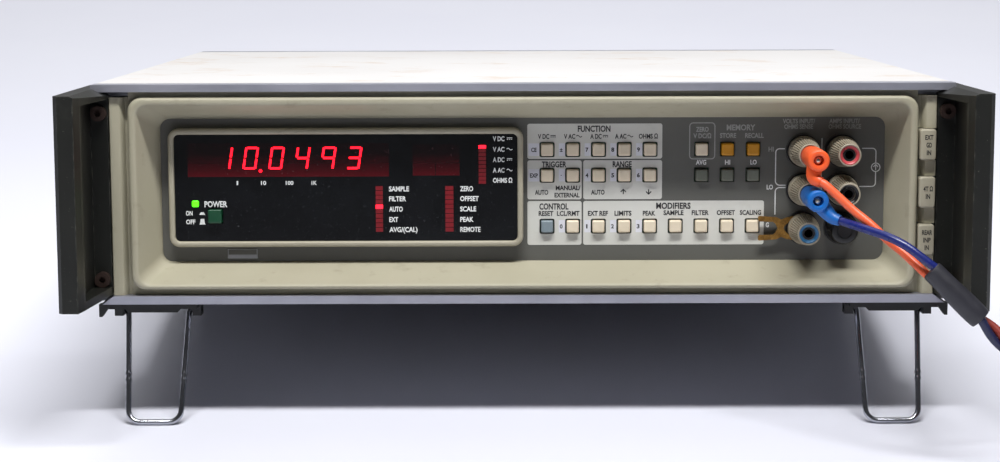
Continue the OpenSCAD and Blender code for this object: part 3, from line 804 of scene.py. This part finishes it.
def pierced(x, z, radius, y, holes):
    """A rounded sheet facing the front with square holes, each given by its centre."""
    build = bmesh.new()
    edges = []
    loops = [rounded(x, z, radius, y, 5)]
    for hx, hz, half in holes:
        loops.append(rounded((hx - half, hx + half), (hz - half, hz + half), 0.9, y, 3))
    for loop in loops:
        ring = [build.verts.new(p) for p in loop]
        edges += [build.edges.new((ring[i], ring[(i + 1) % len(ring)])) for i in range(len(ring))]
    bmesh.ops.triangle_fill(build, use_beauty=True, edges=edges)
    build.verts.index_update()
    verts = [tuple(v.co) for v in build.verts]
    faces = [tuple(v.index for v in f.verts) for f in build.faces]
    build.free()
    return verts, faces


SKIN = RECESS - 0.14
PATCH_Y = SKIN - 0.04
INK_Y = SKIN - 0.08
PANEL_INK = RECESS - 0.06
FIELDS = [
    ((2.4, 68.9), (68.6, 86.0), [(c, ROW_HIGH) for c in range(5)]),
    ((2.4, 29.2), (48.5, 67.9), [(c, ROW_MID) for c in range(2)]),
    ((30.0, 68.9), (48.5, 67.9), [(c, ROW_MID) for c in range(2, 5)]),
    ((2.4, 29.2), (25.8, 47.7), [(c, ROW_LOW) for c in range(2)]),
    ((30.0, 119.4), (25.8, 47.7), [(c, ROW_LOW) for c in range(2, 9)]),
]
labels = Shape()
for x, z, wells in FIELDS:
    holes = [(KEY_X + PITCH * c, row, 3.75) for c, row in wells]
    labels.add(pierced(x, z, 1.1, SKIN, holes), LABEL)
for row, text in ((ROW_HIGH, ("CE", "±", "7", "8", "9")), (ROW_MID, ("EXP", "·", "4", "5", "6")),
                  (ROW_LOW, (None, "0", "1", "2", "3"))):
    for column, mark in enumerate(text):
        if mark is None:
            continue
        key = KEY_X + PITCH * column
        wide = 9.2 if column == 0 else 6.9
        labels.add(flat((key - wide, key - 3.8), (row - 3.1, row + 3.1), PATCH_Y, 0.3), PATCH)
        width = {"CE": 2.7, "EXP": 3.9, "·": 0.6, "1": 0.7}.get(mark, 1.4)
        height = 2.1 if mark != "·" else 1.6
        at = key - 6.5 if column == 0 else key - 5.7
        labels.add(word(mark, at, row, width, height, INK_Y), INK_DARK)
DARK_WORDS = [
    ("FUNCTION", 35.3, 83.6, 16.1, 3.1), ("V DC", 10.4, 79.8, 5.6, 2.4), ("V AC", 23.2, 79.8, 5.6, 2.4),
    ("A DC", 36.2, 79.8, 5.6, 2.4), ("A AC", 48.4, 79.8, 5.6, 2.4), ("OHMS Ω", 62.0, 79.8, 9.4, 2.4),
    ("TRIGGER", 15.6, 66.0, 12.2, 3.0), ("RANGE", 49.2, 66.0, 9.4, 3.0),
    ("AUTO", 9.4, 52.1, 6.6, 2.4), ("MANUAL/", 22.5, 54.3, 12.2, 2.3), ("EXTERNAL", 22.0, 50.7, 12.4, 2.3),
    ("AUTO", 37.2, 52.1, 6.7, 2.4), ("CONTROL", 15.5, 45.1, 14.4, 3.1), ("RESET", 11.6, 41.6, 7.3, 2.4),
    ("LCL/RMT", 22.6, 41.6, 11.2, 2.4), ("EXT REF", 37.3, 41.6, 9.9, 2.4), ("LIMITS", 49.7, 41.6, 8.4, 2.4),
    ("PEAK", 62.6, 41.6, 6.2, 2.4), ("MODIFIERS", 74.6, 45.3, 17.0, 3.1), ("SAMPLE", 74.7, 41.8, 9.9, 2.4),
    ("FILTER", 87.9, 41.8, 8.4, 2.4), ("OFFSET", 100.6, 41.8, 9.0, 2.4), ("SCALING", 112.8, 41.8, 10.5, 2.4),
]
for text, x, z, width, height in DARK_WORDS:
    labels.add(word(text, x, z, width, height, INK_Y), INK_DARK)


def mains_marks(shape, x, z, y, direct, material):
    """The sign for direct current, or the wave for alternating current."""
    if direct:
        shape.add(stroke([(x - 1.3, z + 0.35), (x + 1.3, z + 0.35)], 0.4, y), material)
        for part in (-1, 0, 1):
            shape.add(stroke([(x + part - 0.3, z - 0.35), (x + part + 0.3, z - 0.35)], 0.4, y), material)
        return
    wave = [(x - 1.4 + 0.28 * i, z + 0.45 * math.sin(2 * math.pi * i / 10)) for i in range(11)]
    shape.add(stroke(wave, 0.4, y), material)


for x, direct in ((15.1, True), (27.9, False), (40.9, True), (53.1, False)):
    mains_marks(labels, x, 79.8, INK_Y, direct, INK_DARK)
for x, sign in ((49.8, 1), (62.3, -1)):
    labels.add(stroke([(x, 52.2 - 1.2 * sign), (x, 52.2 + 1.0 * sign)], 0.5, INK_Y), INK_DARK)
    head = [(x - 1.3, 52.2 - 0.1 * sign), (x, 52.2 + 1.2 * sign), (x + 1.3, 52.2 - 0.1 * sign)]
    labels.add(stroke(head, 0.5, INK_Y), INK_DARK)
labels.piece("control_labels", "case")

diagram = Shape()
# Legends above about z 70 take the grey ink, a painted shade where the top of the recess shades them; those
# lower down are white
PANEL_WORDS = [
    ("ZERO", 88.6, 83.1, 6.2, 2.4, INK_WHITE_SHADED), ("V DC/Ω", 88.6, 79.9, 8.8, 2.4, INK_WHITE_SHADED),
    ("MEMORY", 107.6, 84.0, 14.1, 2.9, INK_WHITE_SHADED), ("STORE", 101.3, 80.0, 8.0, 2.4, INK_WHITE_SHADED),
    ("RECALL", 114.3, 80.0, 9.2, 2.4, INK_WHITE_SHADED), ("AVG", 88.1, 66.8, 5.1, 2.4, INK_WHITE),
    ("HI", 101.2, 66.8, 2.6, 2.4, INK_WHITE), ("LO", 114.0, 66.8, 3.1, 2.4, INK_WHITE),
    ("HI", 122.6, 73.2, 2.6, 2.4, INK_WHITE_SHADED), ("LO", 122.2, 54.4, 3.1, 2.4, INK_WHITE),
    ("G", 121.2, 35.6, 1.5, 2.4, INK_WHITE), ("FUSE", 171.6, 32.6, 6.4, 2.4, INK_WHITE),
    ("VOLTS INPUT/", 136.1, 87.0, 15.9, 2.3, INK_WHITE_SHADED), ("OHMS SENSE", 136.0, 84.3, 14.2, 2.3, INK_WHITE_SHADED),
    ("AMPS INPUT/", 158.5, 87.0, 15.0, 2.3, INK_WHITE_SHADED), ("OHMS SOURCE", 158.7, 84.3, 16.0, 2.3, INK_WHITE_SHADED),
]
for text, x, z, width, height, material in PANEL_WORDS:
    diagram.add(word(text, x, z, width, height, PANEL_INK), material)
zero_box = rounded((82.4, 94.8), (68.4, 86.2), 1.6, 0, 4)
# The box round ZERO is drawn in the same painted shade
diagram.add(stroke([(p[0], p[2]) for p in zero_box], 0.5, PANEL_INK, closed=True), INK_WHITE_SHADED)
LINES = [
    [(129.4, 73.3)] + arc(126.7, 71.5, 1.8, 90, 180) + arc(127.1, 57.4, 2.2, 180, 270) + [(130, 55.2)],
    [(130, 54.05)] + arc(126.9, 52.05, 2.0, 90, 180) + [(124.9, 40.6)],
    [(167.4, 73.4)] + arc(172.5, 71.6, 1.8, 90, 0) + [(174.3, 66.1)],
    [(174.3, 61.9)] + arc(172.5, 56.3, 1.8, 0, -90) + [(166.4, 54.5)],
    [(147.6, 78.5), (147.6, 48.5)],
]
for points in LINES:
    diagram.add(stroke(points, 0.5, PANEL_INK), INK_WHITE)
diagram.add(stroke(arc(174.3, 64.0, 2.1, 0, 345, 23), 0.45, PANEL_INK, closed=True), INK_WHITE)
diagram.add(stroke([(174.3, 62.6), (174.3, 65.2)], 0.45, PANEL_INK), INK_WHITE)
diagram.add(stroke([(173.2, 64.2), (174.3, 65.4), (175.4, 64.2)], 0.45, PANEL_INK), INK_WHITE)
diagram.piece("input_diagram", "case")

badge = Shape()
badge.add(pad((-146.4, -131.5), (19.4, 24.2), 0.3, 21.5, 22.0, 0.15), BADGE)
badge.add(pad((-145.9, -132.0), (21.4, 23.8), 0.2, 21.44, 21.6, 0.05), PANEL)
badge.piece("badge_blank", "case")

# ------------------------------------------------------------------ display

FILTER_Y = GLASS - 0.05
LAMP_Y = GLASS - 0.1
SEGMENTS = {"0": "abcdef", "1": "bc", "3": "abcdg", "4": "bcfg", "9": "abcfg"}
DIGITS = "100493"
DIGIT_X = -146.3
DIGIT_Z = (64.3, 75.3)
LEAN = math.tan(math.radians(9))


def digit(mark, x):
    """One seven-segment figure that leans to the right, as separate bars."""
    w = 5.7 / 2
    low, high = DIGIT_Z
    middle = (low + high) / 2
    gap = 0.35
    bars = {
        "a": ((x - w + gap, high - 0.45), (x + w - gap, high - 0.45)),
        "g": ((x - w + gap, middle), (x + w - gap, middle)),
        "d": ((x - w + gap, low + 0.45), (x + w - gap, low + 0.45)),
        "f": ((x - w, high - gap), (x - w, middle + gap)),
        "b": ((x + w, high - gap), (x + w, middle + gap)),
        "e": ((x - w, middle - gap), (x - w, low + gap)),
        "c": ((x + w, middle - gap), (x + w, low + gap)),
    }
    parts = []
    for name in SEGMENTS[mark]:
        ends = [(a + (b - middle) * LEAN, b) for a, b in bars[name]]
        parts.append(stroke(ends, 1.0, LAMP_Y))
    return parts


display = Shape()
display.add(flat((-164.7, -65.7), (60.6, 77.2), FILTER_Y, 0.3), FILTER)
display.add(flat((-54.0, -43.05), (61.0, 76.4), FILTER_Y, 0.2), FILTER)
display.add(flat((-42.75, -31.0), (61.0, 76.4), FILTER_Y, 0.2), FILTER)
for i, mark in enumerate(DIGITS):
    for part in digit(mark, DIGIT_X + PITCH * i):
        display.add(part, SEGMENT)
display.add(flat((-129.7, -128.1), (62.7, 64.3), LAMP_Y, 0.78), SEGMENT)
# Lamp columns: x span, z span and which of the ten lamps is lit
COLUMNS = [
    ((-72.4, -68.9), (33.0, 55.9), 4),
    ((-38.1, -34.1), (33.0, 55.9), None),
    ((-21.6, -18.0), (56.7, 76.0), 0),
]
for x, z, lit in COLUMNS:
    step = (z[1] - z[0]) / 10
    for i in range(10):
        top = z[1] - step * i
        state = BAR_LIT if i == lit else BAR_DIM
        display.add(flat(x, (top - step + 0.15, top - 0.12), FILTER_Y, 0.1), state)
display.add(pad((-163.0, -159.6), (45.7, 48.9), 0.8, 16.9, 17.7, 0.5), POWER_LAMP)
WINDOW_WORDS = [
    ("POWER", -156.85, 47.2, 11.3, 3.0), ("ON", -166.1, 42.7, 3.3, 2.3), ("OFF", -166.1, 38.4, 4.6, 2.3),
    ("1", -140.8, 57.6, 0.8, 2.0), ("10", -128.8, 57.6, 2.6, 2.0), ("100", -116.6, 57.6, 3.8, 2.0),
    ("1K", -103.9, 57.6, 2.6, 2.0), ("SAMPLE", -65.8, 54.5, 9.9, 2.5), ("FILTER", -65.8, 49.6, 8.4, 2.5),
    ("AUTO", -65.8, 44.5, 6.7, 2.5), ("EXT", -65.8, 39.3, 4.35, 2.5), ("AVG/(CAL)", -65.8, 34.3, 13.9, 2.5),
    ("ZERO", -30.8, 54.5, 6.4, 2.5), ("OFFSET", -30.8, 49.6, 9.2, 2.5), ("SCALE", -30.8, 44.5, 7.9, 2.5),
    ("PEAK", -30.8, 39.3, 6.6, 2.5), ("REMOTE", -30.8, 34.3, 10.0, 2.5), ("V DC", -14.6, 79.1, 5.7, 2.4),
    ("V AC", -14.6, 73.9, 5.7, 2.4), ("A DC", -14.6, 68.8, 5.7, 2.4), ("A AC", -14.6, 63.6, 5.7, 2.4),
    ("OHMS Ω", -14.6, 58.6, 9.5, 2.4),
]
for text, x, z, width, height in WINDOW_WORDS:
    display.add(word(text, x, z, width, height, FILTER_Y, "start"), INK_WHITE)
for z, direct in ((79.1, True), (73.9, False), (68.8, True), (63.6, False)):
    mains_marks(display, -6.4, z, FILTER_Y, direct, INK_WHITE)
# Signs for the power button pressed in and standing out
for sign in (
    [(-159.5, 41.8), (-156.5, 41.8), (-157.3, 43.1), (-158.7, 43.1)],
    [(-159.5, 37.0), (-156.5, 37.0), (-156.9, 38.0), (-157.1, 39.8), (-158.9, 39.8), (-159.1, 38.0)],
):
    display.add(([(x, FILTER_Y, z) for x, z in sign], [tuple(range(len(sign)))]), INK_WHITE)
display.piece("display_lamps", "case")

# ------------------------------------------------------------------ keys and buttons

ROWS = [
    (ROW_HIGH, 0, ["key_volts_dc", "key_volts_ac", "key_amps_dc", "key_amps_ac", "key_ohms"], CREAM),
    (ROW_MID, 0, ["key_trigger_auto", "key_trigger_manual", "key_range_auto", "key_range_up",
                  "key_range_down"], CREAM),
    (ROW_LOW, 0, ["key_reset"], SLATE),
    (ROW_LOW, 1, ["key_local_remote", "key_ext_ref", "key_limits", "key_peak", "key_sample",
                  "key_filter", "key_offset", "key_scaling"], CREAM),
    (ROW_HIGH, 6, ["key_zero"], CREAM),
    (ROW_HIGH, 7, ["key_store", "key_recall"], AMBER),
    (ROW_MID, 6, ["key_average", "key_high", "key_low"], DARK),
]
half = KEY_W / 2
for z, first, names, material in ROWS:
    for i, name in enumerate(names):
        x = KEY_X + PITCH * (first + i)
        key = Shape()
        key.add(pad((x - half, x + half), (z - half, z + half), 0.7, KEY_FRONT, RECESS + 2.6, 0.8, 0.12),
                material)
        key.add(pad((x - 1.6, x + 1.6), (z - 1.6, z + 1.6), 0.2, RECESS + 2.5, RECESS + 5.8, 0.2), material)
        key.piece(name + "_cap", name, name)

power = Shape()
power.add(pad((POWER_X - 3.35, POWER_X + 3.35), (POWER_Z - 3.35, POWER_Z + 3.35), 0.5, 14.4,
              RECESS + 4, 0.55, 0.1), GREEN)
power.add(pad((POWER_X - 2, POWER_X + 2), (POWER_Z - 2, POWER_Z + 2), 0.2, RECESS + 3.9, RECESS + 30, 0.2),
          GREEN)
power.piece("power_button_cap", "power_button", "power_button")

SIDE_BUTTONS = [
    ("button_ext_gate", ("EXT", "GD", "IN")),
    ("button_four_wire", ("4T Ω", "IN")),
    ("button_rear_input", ("REAR", "INP", "IN")),
]
for z, (name, lines) in zip(SIDE_Z, SIDE_BUTTONS):
    button = Shape()
    button.add(pad((SIDE_X - 3.9, SIDE_X + 3.9), (z - 7.5, z + 7.5), 1.3, -0.6, 7.6, 0.8), SIDE)
    button.add(pad((SIDE_X - 1.5, SIDE_X + 1.5), (z - 2, z + 2), 0.2, 7.5, 30, 0.2), SIDE)
    for i, line in enumerate(lines):
        width = {"EXT": 3.9, "GD": 2.6, "IN": 2.1, "4T Ω": 4.6, "REAR": 4.9, "INP": 3.6}[line]
        level = z + 3.7 * ((len(lines) - 1) / 2 - i)
        button.add(word(line, SIDE_X + 0.3, level, width, 2.4, -0.66), INK_DARK)
    button.piece(name + "_cap", name, name)

# ------------------------------------------------------------------ binding posts


CAP_SIDES = 216
CAP_RIBS = 36
GROOVE_PHASE = -0.45


def post_cap(name, x, z, base, insert):
    """Ribbed, tapered cap with a coloured funnel round the socket."""
    taper = [(5.62, CAP_FRONT + 1.1), (6.0, CAP_FRONT + 4.6), (6.6, CAP_FRONT + 10), (7.1, CAP_FRONT + 14.6),
             (7.3, base - 6)]
    head = [(3.1, -2.2), (4.4, -2.2), (4.75, -3.4), (4.75, CAP_FRONT + 0.1), (4.95, CAP_FRONT),
            (5.2, CAP_FRONT), (5.5, CAP_FRONT + 0.25)]
    skirt = [(7.45, base - 5.6), (7.5, base - 5.0), (7.5, base - 0.4), (7.2, base), (3.1, base)]
    profile = head + [(r, y, True) for r, y in taper] + skirt
    verts, faces = turned(x, z, profile, CAP_SIDES, CAP_RIBS, 0.5, hollow=True)
    plain = []
    grooves = []
    for i, face in enumerate(faces):
        row, step = divmod(i, CAP_SIDES)
        phase = math.cos(2 * math.pi * CAP_RIBS * (step + 0.5) / CAP_SIDES)
        ribbed = len(head) <= row < len(head) + len(taper) - 1
        (grooves if ribbed and phase < GROOVE_PHASE else plain).append(face)
    # Faces in the grooves between the ribs take the darker colour
    cap = Shape().add((verts, plain), CAP)
    # The grooves share the vertices already there, so their numbers count back from the end
    cap.add(([], [[index - len(verts) for index in face] for face in grooves]), CAP_GROOVE)
    funnel = [(4.72, CAP_FRONT + 0.55), (4.5, CAP_FRONT + 0.35), (4.25, CAP_FRONT + 0.4),
              (3.2, CAP_FRONT + 1.5), (3.1, CAP_FRONT + 2.1), (4.72, CAP_FRONT + 2.1)]
    cap.add(turned(x, z, funnel, 64, hollow=True), insert)
    cap.piece(name + "_ribbed", name, name)


POSTS = [
    ("cap_volts_high", 0, 0, COLLAR_FRONT - 0.2, RED_INSERT),
    ("cap_volts_low", 0, 1, COLLAR_FRONT - 0.2, BLACK_INSERT),
    ("cap_guard", 0, 2, COLLAR_FRONT - 1.6, BLUE_INSERT),
    ("cap_amps_high", 1, 0, COLLAR_FRONT - 0.2, RED_INSERT),
    ("cap_amps_low", 1, 1, COLLAR_FRONT - 0.2, BLACK_INSERT),
]
for name, column, row, base, insert in POSTS:
    post_cap(name, POST_X[column], POST_Z[row], base, insert)

fuse = Shape()
fuse.add(
    turned(POST_X[1], POST_Z[2], [
        (0.1, 7.5), (3.4, 7.4), (3.7, 7.0), (5.6, 7.0), (6.2, 7.2), (6.7, 7.9), (6.95, 8.8, True),
        (7.1, 11, True), (7.3, 14, True), (7.4, 16.4), (7.4, COLLAR_FRONT - 0.2), (5, COLLAR_FRONT - 0.2),
        (5, RECESS + 30), (0.1, RECESS + 30),
    ], 144, 24, 0.5),
    COLLAR,
)
fuse.piece("fuse_cap_fluted", "fuse_cap", "fuse_cap")

LINK_FACES = (COLLAR_FRONT - 1.3, COLLAR_FRONT - 0.25)
LINK_X = POST_X[0] - 22
# Upper half of the fork's outline, measured from its left tips: outside, then the crotch
OUTSIDE = [(0, 5.8), (0.8, 6.1), (9, 5.5), (11.5, 4.3), (14, 5.3), (17, 5.8), (26.6, 5.8),
           (26.6, 3.2), (15.2, 3.2), (13.2, 1.3), (12.6, 0)]
CROTCH = [(9.6, 0), (8.6, 2.2), (7.4, 3.2), (0.5, 3.4), (0, 4.2)]
plate = OUTSIDE + [(x, -z) for x, z in reversed(OUTSIDE[:-1])]
plate += [(x, -z) for x, z in reversed(CROTCH[1:])] + CROTCH
link = Shape().add(loft([[(LINK_X + x, y, POST_Z[2] + z) for x, z in plate] for y in LINK_FACES]), BRASS)
link.piece("shorting_fork", "case", "shorting_link")

# ------------------------------------------------------------------ bails

WIRE_R = 1.4
FOOT_YZ = (2, -59)
HALF_LOW = 13
SPLAY = 2.4
BEND = 6
EYE = 2.6
PIN_X = 20.8
# Heights of the two crimps on each leg above the foot, and how far they stand out
CRIMPS = (24, 21.2)
CRIMP_RAISE = 0.22
LEG_STEPS = 60
DROP = math.hypot(BAIL_PIVOT[0] - FOOT_YZ[0], BAIL_PIVOT[1] - FOOT_YZ[1])
RAKE = math.atan2(BAIL_PIVOT[0] - FOOT_YZ[0], BAIL_PIVOT[1] - FOOT_YZ[1])


def bail_half():
    """The bail's middle line from the middle of its foot to the end of its right pin."""
    low_x = HALF_LOW - BEND
    points = [(0, -DROP)] + arc(low_x, BEND - DROP, BEND, -90, -SPLAY, 10)
    start = points[-1]
    top = -EYE * (1 - math.sin(math.radians(SPLAY)))
    rise = top - start[1]
    run = rise * math.tan(math.radians(SPLAY))
    for i in range(1, LEG_STEPS):
        points.append((start[0] + run * i / LEG_STEPS, start[1] + rise * i / LEG_STEPS))
    points += arc(start[0] + run + EYE * math.cos(math.radians(SPLAY)), -EYE, EYE, 180 - SPLAY, 90, 8)
    points.append((PIN_X, 0))
    return points


def bail(name, x, body):
    right = bail_half()
    course = [(-a, b) for a, b in reversed(right[1:])] + right
    points = []
    radii = []
    for across, level in course:
        y = BAIL_PIVOT[0] + level * math.sin(RAKE)
        points.append(Vector((x + across, y, BAIL_PIVOT[1] + level * math.cos(RAKE))))
        crimped = any(abs(level + DROP - spot) < 0.75 for spot in CRIMPS)
        radii.append(WIRE_R + (CRIMP_RAISE if crimped else 0))
    Shape().add(tube(points, radii, 20), CHROME).piece(name, body, body, sharp=50)


bail("bail_wire_left", -BAIL_X, "bail_left")
bail("bail_wire_right", BAIL_X, "bail_right")

# ------------------------------------------------------------------ carried-over parts

# Material and width of the rounded edge, in millimetres
FINISHES = {
    "top_cover": (COVER, 0.6), "bottom_cover": (SHEET, 0.6), "chassis_frame": (CHASSIS, 0),
    "trim_strips": (TRIM, 0.5), "handles": (HANDLE, 1.8), "screws": (STEEL, 0.25), "front_panel": (PANEL, 0),
    "display_window": (WINDOW, 0), "front_board": (BOARD, 0), "rear_panel": (REAR, 0.3),
    "rear_fittings": (REAR_PLASTIC, 0.3), "circuit_boards": (BOARD, 0), "transformer": (IRON, 0.8),
    "input_terminals": (COLLAR, 0), "feet": (FOOT, 0.5),
}
for name, (material, edge) in FINISHES.items():
    node = nodes[name]
    node.data.materials.clear()
    node.data.materials.append(material)
    if edge:
        rounding = node.modifiers.new("rounding", "BEVEL")
        rounding.width = edge * MM
        rounding.segments = 3
        rounding.limit_method = "ANGLE"
        rounding.angle_limit = math.radians(40)

bpy.data.objects.remove(letter_object)
bpy.data.curves.remove(letters)

# ------------------------------------------------------------------ stage

floor_surface = Surface("floor_paper", "DADBE6", 0.75)
floor_surface.layer(floor_surface.ramp(floor_surface.noise(3, 3), 0.3, 0.8, 0.4), "E4E5EC")
floor_surface.bump(floor_surface.noise(400, 3), 0.02)
floor_mesh = bpy.data.meshes.new("floor")
floor_mesh.from_pydata([(-8, -8, 0), (8, -8, 0), (8, 8, 0), (-8, 8, 0)], [], [(0, 1, 2, 3)])
floor_mesh.materials.append(floor_surface.done())
floor = bpy.data.objects.new("floor", floor_mesh)
scene.collection.objects.link(floor)


def area_light(name, place, aim, size, power):
    light = bpy.data.lights.new(name, "AREA")
    light.shape = "RECTANGLE"
    light.size = size[0]
    light.size_y = size[1]
    light.energy = power
    obj = bpy.data.objects.new(name, light)
    obj.location = place
    obj.rotation_euler = (Vector(aim) - Vector(place)).to_track_quat("-Z", "Y").to_euler()
    scene.collection.objects.link(obj)


area_light("light_key", (0.05, -0.56, 1.45), (0, -0.1, 0.08), (1.1, 0.14), 30)
area_light("light_top", (0, 0.5, 1.6), (0, 0.1, 0), (1.6, 0.7), 4.5)
area_light("light_front", (-0.4, -2.2, 0.7), (0, -0.2, 0.1), (1.8, 0.9), 0.3)
area_light("light_back", (0, 2.6, 2.4), (0, 1.7, 0), (4.5, 1.8), 80)
scene.world = scene.world or bpy.data.worlds.new("world")
scene.world.use_nodes = True
sky = scene.world.node_tree.nodes["Background"]
sky.inputs["Color"].default_value = tint("F2F2F8")
sky.inputs["Strength"].default_value = 0.07
scene.view_settings.view_transform = "Standard"
